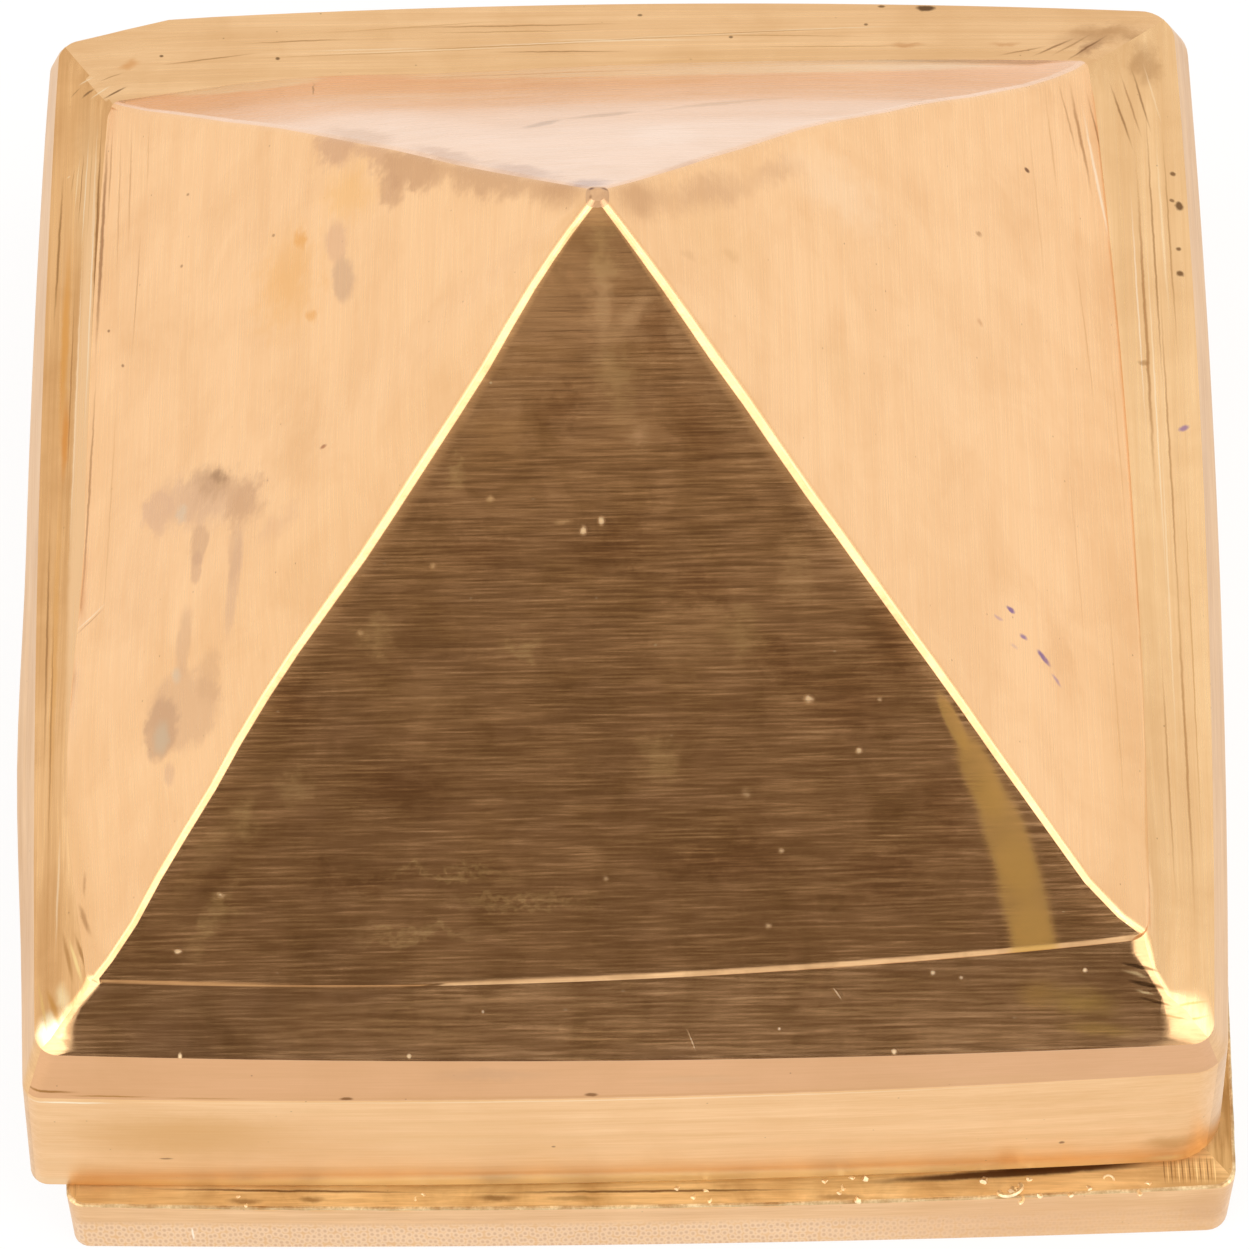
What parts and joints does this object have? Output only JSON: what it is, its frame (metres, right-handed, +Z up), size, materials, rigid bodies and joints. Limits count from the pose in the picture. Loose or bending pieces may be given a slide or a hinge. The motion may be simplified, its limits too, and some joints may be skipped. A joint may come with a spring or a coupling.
{
  "type": "vastu pyramid",
  "caption": "Hollow cast brass pyramid cover with a bowed square skirt, seated on a rebated base plate over a loose plate of small pyramids.",
  "frame": {"origin": "middle of the flat underside of the base plate, on the surface that the part stands on", "axes": "+Z up through the stack, -Y towards the front, where the base plate's ledge shows in front of the cover, +X to the right seen from the front"},
  "size_m": [0.0513, 0.0518, 0.0438],
  "materials": {
    "cover_brass": "hand filed, then buffed bright",
    "small_pyramid_brass": "cast, lightly brushed",
    "base_brass": "milled ledge, filed edges"
  },
  "bodies": {
    "base": {"base_plate": "base_brass"},
    "small_pyramids": {"nine_pyramid_plate": "small_pyramid_brass"},
    "cover": {"pyramid_cover": "cover_brass"}
  },
  "joints": [
    {"name": "small_pyramids_lift", "type": "slide", "parent": "base", "child": "small_pyramids", "axis": [0, 0, 1], "range_m": [0, 0.02]},
    {"name": "cover_lift", "type": "slide", "parent": "small_pyramids", "child": "cover", "axis": [0, 0, 1], "range_m": [0, 0.04]}
  ]
}
